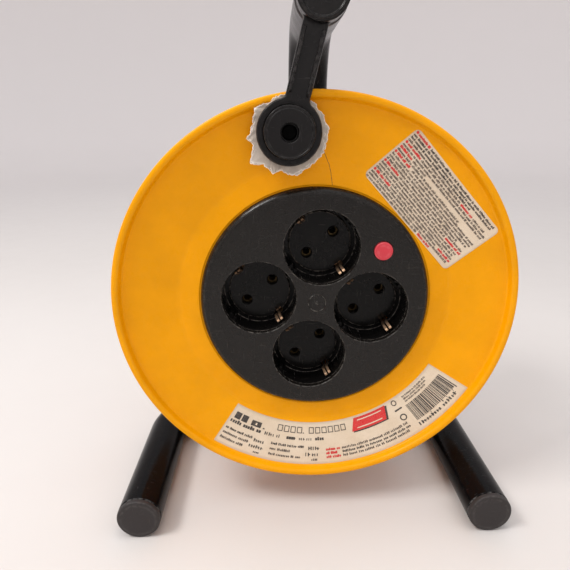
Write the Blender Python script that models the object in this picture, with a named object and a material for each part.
"""Extension cord reel: a plastic drum with four earthed sockets, on a bent steel tube stand.

Units are metres, +Z up. X runs to the right, Y away from the socket face. The origin is on the
ground under the middle of the reel. Lengths along Y are given as depths behind the front face of
the socket plate, so a negative depth stands in front of that face.
"""
import math

import bmesh
import bpy
from mathutils import Matrix, Vector

# Play left between two pieces that touch.
GAP = 0.0003

# Stand: one U-shaped foot tube on the ground and one upright that bends into the handle.
TUBE_RADIUS = 0.0125
TUBE_WALL = 0.0015
TUBE_SIDES = 24
TUBE_REST = TUBE_RADIUS * math.cos(math.pi / TUBE_SIDES)
FOOT_X = 0.101
FOOT_BEND = 0.030
UPRIGHT_DEPTH = 0.086
HANDLE_BEND = 0.034
HANDLE_ABOVE_HUB = 0.148
CAP_FRONT = -0.028
CAP_THICKNESS = 0.0033
PLUG_FRONT = -0.0061
PLUG_THICKNESS = 0.0017
SPIGOT_LENGTH = 0.011

# Drum.
HUB_HEIGHT = 0.1323
FLANGE_RADIUS = 0.1096
FLANGE_LEDGE = 0.0053
FLANGE_BACK = 0.0072
CORE_RADIUS = 0.062
CORE_WALL = 0.0025
CORE_FRONT = 0.0075
CORE_BACK = 0.0572
REAR_FACE = 0.0575
REAR_BACK = 0.0601
DRUM_SIDES = 48
HUB_BORE = 0.0083
BOSS_RADIUS = 0.013
BOSS_FRONT = 0.044
BOSS_BACK = 0.0685
RIB_COUNT = 6
SCREW_CIRCLE = 0.0563
PILLAR_RADIUS = 0.0042
SCREW_HOLE = 0.0019
SCREW_RADIUS = 0.0016
SCREW_HEAD = 0.0032
LEDGE_RADIUS = 0.053
# Front side of a flange, from the hub outwards: a shallow cone, then a wide cone up to the rim bead.
FLANGE_CONE = [(0.0612, FLANGE_LEDGE), (0.0618, 0.0039), (0.0636, 0.0039), (0.0641, 0.0032),
               (0.0750, 0.0041), (0.0762, 0.0040), (0.1046, -0.0016)]
RIM_BEAD = [(0.1055, -0.0024), (0.1057, -0.0037), (0.1063, -0.0050), (0.1076, -0.0057),
            (0.1089, -0.0052), (FLANGE_RADIUS, -0.0037), (FLANGE_RADIUS, 0.0016), (0.1088, 0.0026),
            (0.1074, 0.0026), (0.1049, 0.0014), (0.0765, FLANGE_BACK)]

# Axle that carries the drum on the upright.
AXLE_RADIUS = 0.005
AXLE_HOLE = AXLE_RADIUS + GAP
AXLE_TIP = 0.0345
AXLE_HEAD_FRONT = 0.1009
AXLE_HEAD_BACK = 0.1059
HEX_RADIUS = 0.0092

# Socket plate. The sockets stand on a square grid that is turned clockwise about the hub.
PLATE_RADIUS = 0.0632
PLATE_THICKNESS = 0.003
GRID = 0.022
GRID_TURN = math.radians(50.8)
WELL_RADIUS = 0.0205
WELL_WALL = 0.0012
WELL_FRONT = 0.0033
WELL_FLOOR = 0.0156
WELL_BACK = 0.0195
PIN_PITCH = 0.019
PIN_HOLE = 0.0026
CLIP_OFFSET = 0.0183
STRIP = 0.0008
PLATE_PILLAR_CIRCLE = 0.0464
CARRIER_FRONT = 0.0302
CARRIER_BACK = 0.0324

# Reset button of the thermal cut-out.
BUTTON_Z = 0.0464
BUTTON_RADIUS = 0.005
BUTTON_FRONT = -0.0012
CUTOUT_FRONT = 0.0043
CUTOUT_BACK = 0.028

# Winding knob and the lock arm that turns around its foot.
KNOB_X = -0.0147
KNOB_Z = 0.090
KNOB_RADIUS = 0.012
KNOB_FRONT = -0.0195
KNOB_BACK = -0.0095
PEDESTAL_RADIUS = 0.0094
PEDESTAL_FRONT = -0.0058
SPIGOT_RADIUS = 0.0064
SPIGOT_FRONT = -0.0092
NUT_SEAT = 0.0058
ARM_BACK = -0.0066
ARM_FRONT = -0.0125
ARM_RAIL = -0.0140
ARM_DISC_FRONT = -0.0165
ARM_WIDTH = 0.0117
RING_RADIUS = 0.0157
RING_FRONT = -0.0120
RING_LIP = -0.0089
PAPER = 0.0002

# Labels: a rectangle on the upper right of the flange, and a band inside the bottom of its rim.
LABEL_X = 0.0614
LABEL_Z = 0.0532
LABEL_LENGTH = 0.0680
LABEL_HEIGHT = 0.0330
LABEL_TURN = math.radians(-47.7)
BAND_OUTER = 0.1043
BAND_INNER = 0.0785
BAND_START = math.radians(235.5)
BAND_END = math.radians(329)

# Cable gland in the drum core.
GLAND_ANGLE = math.radians(270)
GLAND_DEPTH = 0.049
GLAND_BORE = 0.0039

# Whole object along Y, used to centre the origin under it.
FACE_Y = -(CAP_FRONT + AXLE_HEAD_BACK) / 2


def material(name, colour, roughness, metallic=0.0):
    shader = bpy.data.materials.new(name)
    shader.use_nodes = True
    surface = shader.node_tree.nodes["Principled BSDF"]
    surface.inputs["Base Color"].default_value = (*colour, 1.0)
    surface.inputs["Roughness"].default_value = roughness
    surface.inputs["Metallic"].default_value = metallic
    shader.diffuse_color = (*colour, 1.0)
    return shader


def empty(name, location, parent=None, turn=0.0):
    marker = bpy.data.objects.new(name, None)
    marker.empty_display_size = 0.02
    marker.location = location
    marker.rotation_euler.y = turn
    marker.parent = parent
    bpy.context.scene.collection.objects.link(marker)
    return marker


def solid(name, form, finish, parent, at=(0, 0, 0), turn=0.0):
    """Make one object from a bmesh, with its faces pointing out and its edges split by angle."""
    bmesh.ops.recalc_face_normals(form, faces=form.faces)
    mesh = bpy.data.meshes.new(name)
    form.to_mesh(mesh)
    form.free()
    mesh.shade_smooth()
    mesh.set_sharp_from_angle(angle=math.radians(32))
    mesh.materials.append(finish)
    piece = bpy.data.objects.new(name, mesh)
    piece.location = at
    piece.rotation_euler.y = turn
    piece.parent = parent
    bpy.context.scene.collection.objects.link(piece)
    return piece


def turned(outline, sides=32, phase=0.5):
    """Revolve a closed outline of (radius, depth) points about Y."""
    form = bmesh.new()
    rings = []
    for radius, depth in outline:
        if radius == 0:
            rings.append([form.verts.new((0, depth, 0))])
            continue
        ring = []
        for step in range(sides):
            angle = math.tau * (step + phase) / sides - math.pi / 2
            ring.append(form.verts.new((radius * math.cos(angle), depth, radius * math.sin(angle))))
        rings.append(ring)
    for ring, after in zip(rings, rings[1:] + rings[:1]):
        if len(ring) == 1 and len(after) == 1:
            continue
        for step in range(sides):
            following = (step + 1) % sides
            if len(ring) == 1:
                form.faces.new((ring[0], after[step], after[following]))
            elif len(after) == 1:
                form.faces.new((ring[step], ring[following], after[0]))
            else:
                form.faces.new((ring[step], ring[following], after[following], after[step]))
    return form


def rod(radius, front, back, sides=12, phase=0.5):
    return turned([(0, front), (radius, front), (radius, back), (0, back)], sides, phase)


def sleeve(bore, radius, front, back, sides=20):
    return turned([(bore, front), (radius, front), (radius, back), (bore, back)], sides)


def block(low, high):
    form = bmesh.new()
    size = [top - bottom for bottom, top in zip(low, high)]
    middle = [(top + bottom) / 2 for bottom, top in zip(low, high)]
    placed = Matrix.Translation(middle) @ Matrix.Diagonal((*size, 1))
    bmesh.ops.create_cube(form, size=1, matrix=placed)
    return form


def profiled(outline, width):
    """Extrude a closed outline of (x, depth) points along Z, half the width each way."""
    form = bmesh.new()
    low = [form.verts.new((x, depth, -width / 2)) for x, depth in outline]
    high = [form.verts.new((x, depth, width / 2)) for x, depth in outline]
    form.faces.new(low)
    form.faces.new(high)
    count = len(outline)
    for step in range(count):
        following = (step + 1) % count
        form.faces.new((low[step], low[following], high[following], high[step]))
    return form


def ribbon(path, thickness, width):
    """Bend a flat strip along a path of (x, depth) points; its width runs along Z."""
    near = []
    far = []
    for index, point in enumerate(path):
        before = Vector(path[max(index - 1, 0)])
        after = Vector(path[min(index + 1, len(path) - 1)])
        along = (after - before).normalized()
        across = Vector((-along.y, along.x)) * thickness / 2
        near.append(Vector(point) + across)
        far.append(Vector(point) - across)
    return profiled([tuple(spot) for spot in near + far[::-1]], width)


def tool(name, form, parent, at=(0, 0, 0), turn=0.0):
    """A shape that only cuts or joins: it is drawn as wire and isn't part of the object."""
    shape = solid(name, form, FINISH["tool"], parent, at, turn)
    shape.hide_render = True
    shape.display_type = "WIRE"
    return shape


def combine(piece, shape, operation):
    modifier = piece.modifiers.new(shape.name, "BOOLEAN")
    modifier.operation = operation
    modifier.solver = "EXACT"
    modifier.object = shape


def cut(piece, shape):
    combine(piece, shape, "DIFFERENCE")


def join(piece, shape):
    combine(piece, shape, "UNION")


def on_circle(radius, angle, depth=0.0):
    return (radius * math.cos(angle), depth, radius * math.sin(angle))


def pipe(path, binormal):
    """Hollow tube with open ends along a flat path; one of its sides faces straight down."""
    form = bmesh.new()
    skins = []
    for radius in (TUBE_RADIUS, TUBE_RADIUS - TUBE_WALL):
        rings = []
        for index, point in enumerate(path):
            before = path[max(index - 1, 0)]
            after = path[min(index + 1, len(path) - 1)]
            along = (after - before).normalized()
            side = binormal.cross(along).normalized()
            ring = []
            for step in range(TUBE_SIDES):
                angle = math.tau * (step + 0.5) / TUBE_SIDES
                offset = side * math.cos(angle) + binormal * math.sin(angle)
                ring.append(form.verts.new(point + offset * radius))
            rings.append(ring)
        skins.append(rings)
    outer, inner = skins
    pairs = list(zip(outer, outer[1:])) + list(zip(inner[1:], inner))
    pairs += [(inner[0], outer[0]), (outer[-1], inner[-1])]
    for ring, after in pairs:
        for step in range(TUBE_SIDES):
            following = (step + 1) % TUBE_SIDES
            form.faces.new((ring[step], ring[following], after[following], after[step]))
    return form


def arc(centre, start, end, steps):
    """Points from start to end on the circle around centre, along the shorter way."""
    first = start - centre
    last = end - centre
    angle = first.angle(last)
    axis = first.cross(last).normalized()
    return [centre + Matrix.Rotation(angle * step / steps, 3, axis) @ first for step in range(steps + 1)]


def make_stand(stand):
    foot_start = CAP_FRONT + CAP_THICKNESS + GAP
    corner = FOOT_X - FOOT_BEND
    bend_start = UPRIGHT_DEPTH - FOOT_BEND
    path = [Vector((-FOOT_X, foot_start, TUBE_REST))]
    path += arc(Vector((-corner, bend_start, TUBE_REST)), Vector((-FOOT_X, bend_start, TUBE_REST)),
                Vector((-corner, UPRIGHT_DEPTH, TUBE_REST)), 7)
    path += arc(Vector((corner, bend_start, TUBE_REST)), Vector((corner, UPRIGHT_DEPTH, TUBE_REST)),
                Vector((FOOT_X, bend_start, TUBE_REST)), 7)
    path.append(Vector((FOOT_X, foot_start, TUBE_REST)))
    solid("base_tube", pipe(path, Vector((0, 0, 1))), FINISH["steel"], stand)

    handle_z = HUB_HEIGHT + HANDLE_ABOVE_HUB
    handle_start = PLUG_FRONT + PLUG_THICKNESS + GAP
    bend_z = handle_z - HANDLE_BEND
    bend_depth = UPRIGHT_DEPTH - HANDLE_BEND
    path = [Vector((0, UPRIGHT_DEPTH, TUBE_REST))]
    path += arc(Vector((0, bend_depth, bend_z)), Vector((0, UPRIGHT_DEPTH, bend_z)),
                Vector((0, bend_depth, handle_z)), 8)
    path.append(Vector((0, handle_start, handle_z)))
    upright = solid("upright_tube", pipe(path, Vector((1, 0, 0))), FINISH["steel"], stand)
    saddle = tool("saddle_cut", rod(TUBE_RADIUS + GAP, -0.03, 0.03, 32), stand,
                  (0, UPRIGHT_DEPTH, TUBE_REST))
    saddle.rotation_euler.z = math.pi / 2
    cut(upright, saddle)
    cut(upright, tool("axle_drill", rod(AXLE_HOLE, 0.06, 0.11), stand, (0, 0, HUB_HEIGHT)))
    solid("weld_bead", weld_bead(), FINISH["steel"], stand, (0, UPRIGHT_DEPTH, TUBE_REST))

    spigot = TUBE_RADIUS - TUBE_WALL - GAP
    for side, x in (("left", -FOOT_X), ("right", FOOT_X)):
        cap = turned(stopper(CAP_FRONT, CAP_THICKNESS, spigot), TUBE_SIDES)
        solid("foot_cap_" + side, cap, FINISH["trim"], stand, (x, 0, TUBE_REST))
    plug = turned(stopper(PLUG_FRONT, PLUG_THICKNESS, spigot), TUBE_SIDES)
    solid("handle_end_plug", plug, FINISH["trim"], stand, (0, 0, handle_z))


def stopper(front, thickness, spigot):
    """Outline of a tube stopper: a disc as wide as the tube, and a spigot inside it."""
    back = front + thickness
    edge = 0.0006
    return [(0, front), (TUBE_RADIUS - edge, front), (TUBE_RADIUS, front + edge), (TUBE_RADIUS, back),
            (spigot, back), (spigot, back + SPIGOT_LENGTH), (0, back + SPIGOT_LENGTH)]


def weld_bead():
    """Bead in the groove between the upright and the foot tube, whose surfaces meet at x = z."""
    bead = 0.0013
    reach = TUBE_RADIUS + bead + GAP
    rounding = 0.0015
    around = 24
    across = 5
    centres = []
    for step in range(around):
        angle = math.tau * step / around
        x = reach * math.cos(angle)
        centres.append(Vector((x, reach * math.sin(angle), math.hypot(x, rounding))))
    form = bmesh.new()
    rings = []
    for step, centre in enumerate(centres):
        along = (centres[(step + 1) % around] - centres[step - 1]).normalized()
        outward = Vector((centre.x, centre.y, 0))
        outward = (outward - along * outward.dot(along)).normalized()
        upward = along.cross(outward)
        ring = []
        for corner in range(across):
            angle = math.tau * corner / across
            offset = outward * math.cos(angle) + upward * math.sin(angle)
            ring.append(form.verts.new(centre + offset * bead))
        rings.append(ring)
    for ring, after in zip(rings, rings[1:] + rings[:1]):
        for corner in range(across):
            following = (corner + 1) % across
            form.faces.new((ring[corner], ring[following], after[following], after[corner]))
    return form


def make_axle(hub):
    """Bolt through the upright, with the drum held between a spacer and a washer and nut."""
    hexagon = dict(sides=6, phase=0)
    bolt = solid("axle_bolt", rod(HEX_RADIUS, AXLE_HEAD_FRONT, AXLE_HEAD_BACK, **hexagon),
                 FINISH["zinc"], hub)
    join(bolt, tool("axle_shank", rod(AXLE_RADIUS, AXLE_TIP, AXLE_HEAD_FRONT + 0.001, 24), hub))

    tube_shape = tool("tube_seat", rod(TUBE_RADIUS + GAP, -0.02, 0.02, 32), hub, (0, UPRIGHT_DEPTH, 0))
    tube_shape.rotation_euler.x = math.pi / 2
    spacer = solid("axle_spacer", sleeve(AXLE_HOLE, 0.009, 0.0691, 0.0776), FINISH["trim"], hub)
    cut(spacer, tube_shape)
    saddle = solid("saddle_washer", sleeve(AXLE_HOLE, 0.010, 0.0938, AXLE_HEAD_FRONT - GAP),
                   FINISH["trim"], hub)
    cut(saddle, tube_shape)
    solid("thrust_washer", sleeve(AXLE_HOLE, 0.0105, 0.0409, 0.0419, 24), FINISH["zinc"], hub)
    nut = solid("axle_nut", rod(HEX_RADIUS, 0.0356, 0.0406, **hexagon), FINISH["zinc"], hub)
    cut(nut, tool("nut_bore", rod(AXLE_HOLE, 0.035, 0.042, 24), hub))


def make_flanges(hub):
    sockets = empty("socket_grid", (0, 0, 0), hub, GRID_TURN)
    front = solid("front_flange", turned(
        [(LEDGE_RADIUS, FLANGE_LEDGE)] + FLANGE_CONE + RIM_BEAD + [(LEDGE_RADIUS, FLANGE_BACK)],
        DRUM_SIDES), FINISH["yellow"], hub)
    spindle = (KNOB_X, 0, KNOB_Z)
    join(front, tool("pedestal", rod(PEDESTAL_RADIUS, PEDESTAL_FRONT, NUT_SEAT - 0.003, 32), hub, spindle))
    join(front, tool("spigot", rod(SPIGOT_RADIUS, SPIGOT_FRONT, 0.001, 24), hub, spindle))
    join(front, tool("nut_seat", rod(0.007, 0.001, NUT_SEAT, 24), hub, spindle))
    cut(front, tool("spindle_drill", rod(0.0029, -0.02, 0.02), hub, spindle))

    flip = FLANGE_BACK + REAR_FACE
    mirrored = [(radius, flip - depth) for radius, depth in (FLANGE_CONE[5:] + RIM_BEAD)[::-1]]
    rear = solid("rear_flange", turned(
        [(HUB_BORE, BOSS_FRONT), (BOSS_RADIUS, BOSS_FRONT), (BOSS_RADIUS, REAR_FACE)] + mirrored
        + [(0.0745, REAR_BACK), (0.0135, REAR_BACK), (BOSS_RADIUS, REAR_BACK + 0.0006),
           (BOSS_RADIUS, BOSS_BACK), (HUB_BORE, BOSS_BACK)], DRUM_SIDES), FINISH["yellow"], hub)
    for index in range(RIB_COUNT):
        rib = block((0.0125, REAR_BACK - 0.0005, -0.0011), (0.096, REAR_BACK + 0.003, 0.0011))
        join(rear, tool(f"rear_rib_{index}", rib, hub, turn=math.tau * index / RIB_COUNT))

    core = solid("drum_core", sleeve(CORE_RADIUS - CORE_WALL, CORE_RADIUS, CORE_FRONT, CORE_BACK,
                                     DRUM_SIDES), FINISH["yellow"], hub)
    for index in range(4):
        angle = math.radians(67.5 + 90 * index)
        place = on_circle(SCREW_CIRCLE, angle)
        pillar = rod(PILLAR_RADIUS, CORE_FRONT + GAP, CORE_BACK - GAP, 10)
        join(core, tool(f"core_pillar_{index}", pillar, sockets, place))
        drill = tool(f"screw_drill_{index}", rod(SCREW_HOLE, -0.01, 0.08, 12), sockets, place)
        for piece in (core, front, rear):
            cut(piece, drill)
        head = 0.0017
        solid(f"front_screw_{index + 1}", turned(screw(FLANGE_LEDGE - GAP - head, head, 0.014), 12),
              FINISH["zinc"], sockets, place)
        solid(f"rear_screw_{index + 1}", turned(screw(-REAR_BACK - GAP - head, head, 0.014), 12),
              FINISH["zinc"], sockets, place, 0).rotation_euler.x = math.pi
        slot = tool(f"hook_slot_{index}", block((0.0561, 0, -0.0045), (0.0588, 0.0074, 0.0045)),
                    sockets, turn=-math.radians(112.5 + 90 * index))
        cut(front, slot)

    drill = tool("gland_drill", rod(0.0061, 0.05, 0.07, 20), hub, (0, GLAND_DEPTH, 0))
    drill.rotation_euler = (0, -GLAND_ANGLE, -math.pi / 2)
    drill.rotation_mode = "ZXY"
    cut(core, drill)
    solid("hub_bush", turned([
        (AXLE_HOLE, 0.0422), (0.011, 0.0422), (0.011, BOSS_FRONT - GAP), (HUB_BORE - GAP, BOSS_FRONT - GAP),
        (HUB_BORE - GAP, 0.0688), (AXLE_HOLE, 0.0688)], 20), FINISH["nylon"], hub)
    make_gland(hub)
    return sockets


def screw(front, head, length):
    """Outline of a pan head screw whose head starts at front."""
    return [(0, front), (SCREW_HEAD - 0.0006, front), (SCREW_HEAD, front + 0.0007),
            (SCREW_HEAD, front + head), (SCREW_RADIUS, front + head),
            (SCREW_RADIUS, front + length), (0, front + length)]


def make_gland(hub):
    """Gland for the cord in the wall of the core; its local depth runs along the radius."""
    body = solid("cable_gland", turned([
        (GLAND_BORE, 0.0655), (0.007, 0.0655), (0.008, 0.0645), (0.008, CORE_RADIUS + GAP),
        (0.0058, CORE_RADIUS + GAP), (0.0058, 0.0535), (GLAND_BORE, 0.0535)], 20),
        FINISH["trim"], hub, (0, GLAND_DEPTH, 0))
    nut = solid("gland_nut", rod(0.0094, 0.0553, 0.0585, 6, 0), FINISH["trim"], hub, (0, GLAND_DEPTH, 0))
    bore = tool("gland_nut_bore", rod(0.0061, 0.05, 0.06, 20), hub, (0, GLAND_DEPTH, 0))
    for piece in (body, nut, bore):
        piece.rotation_mode = "ZXY"
        piece.rotation_euler = (0, -GLAND_ANGLE, -math.pi / 2)
    cut(nut, bore)


def make_socket_plate(sockets):
    plate = solid("socket_plate", turned([
        (0, 0), (0.0594, 0), (0.0609, 0.00035), (0.0622, 0.00115), (0.06295, 0.0022),
        (PLATE_RADIUS, 0.0034), (0.0628, 0.0036), (0.0615, 0.0036), (0.0612, PLATE_THICKNESS),
        (0, PLATE_THICKNESS)], DRUM_SIDES), FINISH["charcoal"], sockets)
    for index in range(3):
        place = on_circle(PLATE_PILLAR_CIRCLE, math.pi + index * math.pi / 2)
        pillar = tool(f"plate_pillar_{index}", rod(0.004, 0.002, CARRIER_FRONT - GAP), sockets, place)
        join(plate, pillar)
        cut(plate, tool(f"pillar_drill_{index}", rod(SCREW_HOLE, 0.014, 0.04, 12), sockets, place))
        shank = turned(screw(-CARRIER_BACK - GAP - 0.0019, 0.0019, 0.016), 12)
        solid(f"carrier_screw_{index + 1}", shank, FINISH["zinc"], sockets, place).rotation_euler.x = math.pi
    for index in range(4):
        turn = -math.radians(112.5 + 90 * index)
        side = [(0.0565, 0.002), (0.0584, 0.002), (0.0584, CORE_FRONT), (0.0591, CORE_FRONT + 0.0003),
                (0.0584, 0.0098), (0.0565, 0.0098)]
        hook = profiled(side, 0.008)
        join(plate, tool(f"plate_hook_{index}", hook, sockets, turn=turn))
    cut(plate, tool("button_hole", rod(BUTTON_RADIUS + 0.00035, -0.01, 0.02, 24), sockets, (0, 0, BUTTON_Z)))

    carrier = solid("contact_carrier", rod(0.0505, CARRIER_FRONT, CARRIER_BACK, 32),
                    FINISH["charcoal"], sockets)
    for index in range(3):
        cut(carrier, bpy.data.objects[f"pillar_drill_{index}"])

    for name, x, z in (("top", -GRID, GRID), ("right", GRID, GRID), ("bottom", GRID, -GRID),
                       ("left", -GRID, -GRID)):
        mouth = tool("mouth_" + name, rod(WELL_RADIUS, -0.01, 0.01, 28), sockets, (x, 0, z))
        cut(plate, mouth)
        make_well(name, sockets, (x, 0, z))


def make_well(name, sockets, place):
    """Socket well with its earth clip. The pins lie one above the other, the clip across them."""
    outer = WELL_RADIUS + WELL_WALL
    well = solid("socket_well_" + name, turned([
        (WELL_RADIUS, WELL_FRONT), (outer, WELL_FRONT), (outer, WELL_BACK), (0, WELL_BACK),
        (0, WELL_FLOOR), (0.0174, WELL_FLOOR), (0.0176, 0.0176), (WELL_RADIUS, 0.0176)], 28),
        FINISH["gloss"], sockets, place)
    for side in (-1, 1):
        label = f"{name}_{'low' if side < 0 else 'high'}"
        x, _, z = place
        pin = (x, 0, z + side * PIN_PITCH / 2)
        cut(well, tool("pin_drill_" + label, rod(PIN_HOLE, 0.01, 0.03, 12), sockets, pin))
        near, far = sorted((side * 0.0167, side * 0.0196))
        slot = block((near, 0.01, -0.0024), (far, 0.03, 0.0024))
        cut(well, tool("clip_slot_" + label, slot, sockets, place))
        near, far = sorted((side * 0.0187, side * 0.0209))
        rib = block((-0.0026, 0.0055, near), (0.0026, 0.018, far))
        join(well, tool("guide_rib_" + label, rib, sockets, place))
    base = WELL_BACK + 0.0008
    half = [(CLIP_OFFSET - 0.0012, base), (CLIP_OFFSET, base - 0.0012), (CLIP_OFFSET, 0.0148),
            (0.0164, 0.0100), (0.0164, 0.0084), (0.0178, 0.0048)]
    path = [(-x, depth) for x, depth in half[::-1]] + half
    solid("earth_clip_" + name, ribbon(path, STRIP, 0.004), FINISH["brass"], sockets, place)


def make_contacts(sockets):
    """Comb-shaped live and neutral busbars, and the earth strap that joins the four clips."""
    front = 0.0215
    back = front + STRIP
    pole = PIN_PITCH / 2
    for name, side in (("live_busbar", 1), ("neutral_busbar", -1)):
        high = side * (GRID + pole)
        low = side * (pole - GRID)
        left, right = sorted((-side * 0.0265, side * 0.0325))
        bar = solid(name, block((left, front, high - 0.0025), (right, back, high + 0.0025)),
                    FINISH["brass"], sockets)
        strip = block((left, front, low - 0.0025), (right, back, low + 0.0025))
        join(bar, tool(name + "_strip", strip, sockets))
        near, far = sorted((side * 0.0285, side * 0.0325))
        bottom, top = sorted((low, high))
        join(bar, tool(name + "_bridge", block((near, front, bottom), (far, back, top)), sockets))
        for x in (-GRID, GRID):
            for z in (low, high):
                place = (x, 0, z)
                tag = f"{name}_{'l' if x < 0 else 'r'}{'l' if z == low else 'h'}"
                contact = rod(0.0035, WELL_BACK + 0.0004, CUTOUT_BACK, 8)
                join(bar, tool("contact_" + tag, contact, sockets, place))
                cut(bar, tool("contact_bore_" + tag, rod(0.0022, 0.01, 0.04, 8), sockets, place))
    foot = 0.0214
    across = 0.0294
    half = [(0.0175, across), (0.0190, across - 0.0015), (0.0190, foot + 0.0012), (0.0202, foot),
            (0.0245, foot)]
    path = [(-z, depth) for z, depth in half[::-1]] + half
    strap = solid("earth_strap", ribbon(path, STRIP, 0.012), FINISH["brass"], sockets)
    strap.rotation_euler.y = math.pi / 2

    terminal = solid("terminal_block", block((0.017, CARRIER_BACK + GAP, -0.027), (0.039, 0.043, -0.015)),
                     FINISH["nylon"], sockets)
    for index in range(3):
        hole = tool(f"terminal_drill_{index}", rod(0.0019, 0.037, 0.05, 12), sockets,
                    (0.0208 + index * 0.0072, 0, -0.021))
        cut(terminal, hole)


def make_cutout(sockets):
    place = (0, 0, BUTTON_Z)
    housing = solid("thermal_cutout", block((-0.006, CUTOUT_FRONT, -0.006), (0.006, CUTOUT_BACK, 0.006)),
                    FINISH["charcoal"], sockets, place)
    cut(housing, tool("cutout_bore", rod(0.0046, 0, 0.020, 24), sockets, place))
    for side in (-1, 1):
        near, far = sorted((side * 0.0022, side * 0.003))
        blade = block((near, CUTOUT_BACK - 0.001, -0.0024), (far, 0.0298, 0.0024))
        join(housing, tool(f"cutout_blade_{'l' if side < 0 else 'r'}", blade, sockets, place))
    solid("button_spring", coil(0.0032, 0.00035, 0.0112, 0.0192, 5), FINISH["zinc"], sockets, place)

    button = empty("button_axis", place, sockets)
    solid("reset_button", turned([
        (0, BUTTON_FRONT), (0.0034, BUTTON_FRONT + 0.0001), (0.0046, BUTTON_FRONT + 0.0006),
        (BUTTON_RADIUS, 0.0003), (BUTTON_RADIUS, 0.0014), (0.0042, 0.0014), (0.0042, 0.008), (0, 0.008)], 24),
        FINISH["red"], button)


def coil(radius, wire, front, back, turns):
    """Helical spring about Y with flat end caps on its wire."""
    per_turn = 8
    around = 4
    form = bmesh.new()
    rings = []
    for step in range(turns * per_turn + 1):
        angle = math.tau * step / per_turn
        depth = front + (back - front) * step / (turns * per_turn)
        outward = Vector((math.cos(angle), 0, math.sin(angle)))
        ring = []
        for corner in range(around):
            tilt = math.tau * corner / around
            offset = outward * math.cos(tilt) + Vector((0, 1, 0)) * math.sin(tilt)
            ring.append(form.verts.new(outward * radius + Vector((0, depth, 0)) + offset * wire))
        rings.append(ring)
    for ring, after in zip(rings, rings[1:]):
        for corner in range(around):
            following = (corner + 1) % around
            form.faces.new((ring[corner], ring[following], after[following], after[corner]))
    form.faces.new(rings[0])
    form.faces.new(rings[-1])
    return form


def make_knob(hub):
    pivot = empty("knob_axis", (KNOB_X, 0, KNOB_Z), hub)
    solid("winding_knob", turned([
        (0.004, KNOB_FRONT), (0.0112, KNOB_FRONT), (KNOB_RADIUS, KNOB_FRONT + 0.0008),
        (KNOB_RADIUS, KNOB_BACK), (0.0029, KNOB_BACK), (0.0029, -0.0117), (0.004, -0.0117)]),
        FINISH["black"], pivot)
    solid("knob_pin", turned([
        (0, -0.0144), (0.0030, -0.0144), (0.0036, -0.0138), (0.0036, -0.0120), (0.0026, -0.0120),
        (0.0026, 0.0094), (0, 0.0094)], 20), FINISH["zinc"], pivot)
    nut = solid("knob_pin_nut", rod(0.0052, NUT_SEAT + GAP, 0.0087, 6, 0), FINISH["zinc"], pivot)
    cut(nut, tool("knob_nut_bore", rod(0.0029, 0, 0.02), pivot))
    make_arm(hub)


def make_arm(hub):
    """Arm between the knob's foot and the handle's end; it is modelled upright, then leaned over."""
    reach = math.hypot(KNOB_X, HANDLE_ABOVE_HUB - KNOB_Z)
    lean = math.atan2(-KNOB_X, HANDLE_ABOVE_HUB - KNOB_Z)
    pivot = empty("arm_axis", (KNOB_X, 0, KNOB_Z), hub, lean)
    bore = KNOB_RADIUS + 0.0004
    arm = solid("lock_arm", turned([
        (bore, RING_FRONT), (0.0149, RING_FRONT), (RING_RADIUS, RING_FRONT + 0.0009),
        (RING_RADIUS, ARM_BACK), (SPIGOT_RADIUS + 0.0004, ARM_BACK),
        (SPIGOT_RADIUS + 0.0004, RING_LIP), (bore, RING_LIP)]), FINISH["black"], pivot)
    half = ARM_WIDTH / 2
    join(arm, tool("arm_bar", block((-half, ARM_FRONT, 0.0136), (half, ARM_BACK, reach - 0.005)), pivot))
    for side in (-1, 1):
        near, far = sorted((side * (half - 0.0016), side * half))
        rail = block((near, ARM_RAIL, 0.0158), (far, ARM_FRONT + 0.001, reach - 0.005))
        join(arm, tool(f"arm_rail_{'l' if side < 0 else 'r'}", rail, pivot))
    disc = turned([
        (0, ARM_DISC_FRONT + 0.0006), (0.0100, ARM_DISC_FRONT + 0.0006), (0.0104, ARM_DISC_FRONT),
        (0.0113, ARM_DISC_FRONT), (0.012, ARM_DISC_FRONT + 0.0008), (0.012, ARM_BACK), (0, ARM_BACK)])
    join(arm, tool("arm_disc", disc, pivot, (0, 0, reach)))


def cone_depth(radius):
    """Depth of the front flange's face at a radius."""
    for (near, start), (far, end) in zip(FLANGE_CONE, FLANGE_CONE[1:]):
        if radius <= far:
            return start + (end - start) * (radius - near) / (far - near)
    return FLANGE_CONE[-1][1]


def draped(rows):
    """Sheet of paper on the flange from rows of (x, z) points, closed all round."""
    form = bmesh.new()
    sheets = []
    for lift in (GAP + PAPER, GAP):
        sheets.append([[form.verts.new((x, cone_depth(math.hypot(x, z)) - lift, z)) for x, z in row]
                       for row in rows])
    last = len(rows) - 1
    end = len(rows[0]) - 1
    for sheet in sheets:
        for row, after in zip(sheet, sheet[1:]):
            for step in range(end):
                form.faces.new((row[step], row[step + 1], after[step + 1], after[step]))
    border = [(0, step) for step in range(end)] + [(row, end) for row in range(last)]
    border += [(last, step) for step in range(end, 0, -1)] + [(row, 0) for row in range(last, 0, -1)]
    face, back = sheets
    for (row, step), (next_row, next_step) in zip(border, border[1:] + border[:1]):
        form.faces.new((face[row][step], face[next_row][next_step], back[next_row][next_step],
                        back[row][step]))
    return form


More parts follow.
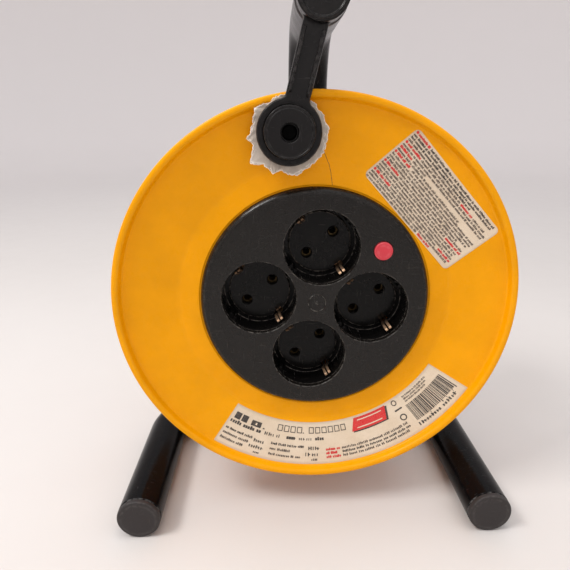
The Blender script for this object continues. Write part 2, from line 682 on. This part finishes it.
def make_paper(hub):
    """Two paper labels on the face of the flange, and the torn paper under the lock arm's ring."""
    turn = Matrix.Rotation(LABEL_TURN, 2)
    rows = []
    for down in range(5):
        across = LABEL_HEIGHT * (0.5 - down / 4)
        row = [Vector((LABEL_LENGTH * (step / 8 - 0.5), across)) for step in range(9)]
        rows.append([tuple(Vector((LABEL_X, LABEL_Z)) + turn @ spot) for spot in row])
    solid("rating_label", draped(rows), FINISH["paper"], hub)

    rows = []
    for outward in range(4):
        radius = BAND_INNER + (BAND_OUTER - BAND_INNER) * outward / 3
        angles = [BAND_START + (BAND_END - BAND_START) * step / 20 for step in range(21)]
        rows.append([(radius * math.cos(angle), radius * math.sin(angle)) for angle in angles])
    solid("type_label", draped(rows), FINISH["paper"], hub)

    form = bmesh.new()
    around = 30
    hole = SPIGOT_RADIUS + GAP
    front = ARM_BACK + GAP
    rings = []
    for depth, torn in ((front, True), (front + PAPER, True), (front + PAPER, False), (front, False)):
        ring = []
        for step in range(around):
            angle = math.tau * step / around
            tear = 0.0009 * math.sin(3 * angle + 2.2) + 0.0006 * math.sin(7 * angle)
            lean = 0.0019 * math.cos(angle - math.radians(215))
            reach = 0.0189 + lean + tear if torn else hole
            ring.append(form.verts.new((reach * math.cos(angle), depth, reach * math.sin(angle))))
        rings.append(ring)
    for ring, after in zip(rings, rings[1:] + rings[:1]):
        for step in range(around):
            following = (step + 1) % around
            form.faces.new((ring[step], ring[following], after[following], after[step]))
    solid("torn_paper", form, FINISH["paper"], hub, (KNOB_X, 0, KNOB_Z))


for leftover in list(bpy.data.objects):
    bpy.data.objects.remove(leftover)

FINISH = {
    "yellow": material("yellow_plastic", (0.87, 0.36, 0.005), 0.38),
    "charcoal": material("charcoal_plastic", (0.028, 0.026, 0.024), 0.55),
    "gloss": material("socket_plastic", (0.010, 0.009, 0.009), 0.25),
    "black": material("black_plastic", (0.018, 0.018, 0.019), 0.45),
    "trim": material("cap_plastic", (0.022, 0.022, 0.023), 0.6),
    "steel": material("painted_steel", (0.010, 0.010, 0.010), 0.22),
    "zinc": material("zinc_plated_steel", (0.62, 0.62, 0.60), 0.35, 1.0),
    "brass": material("brass_strip", (0.62, 0.38, 0.18), 0.35, 1.0),
    "nylon": material("natural_nylon", (0.72, 0.70, 0.64), 0.5),
    "red": material("red_plastic", (0.72, 0.05, 0.08), 0.4),
    "paper": material("label_paper", (0.80, 0.70, 0.56), 0.7),
    "tool": material("tool", (0.5, 0.5, 0.5), 1.0),
}

stand_frame = empty("stand", (0, FACE_Y, 0))
axle_line = empty("axle_line", (0, FACE_Y, HUB_HEIGHT))
drum_axis = empty("drum_axis", (0, FACE_Y, HUB_HEIGHT))
make_stand(stand_frame)
make_axle(axle_line)
socket_grid = make_flanges(drum_axis)
make_socket_plate(socket_grid)
make_contacts(socket_grid)
make_cutout(socket_grid)
make_knob(drum_axis)
make_paper(drum_axis)
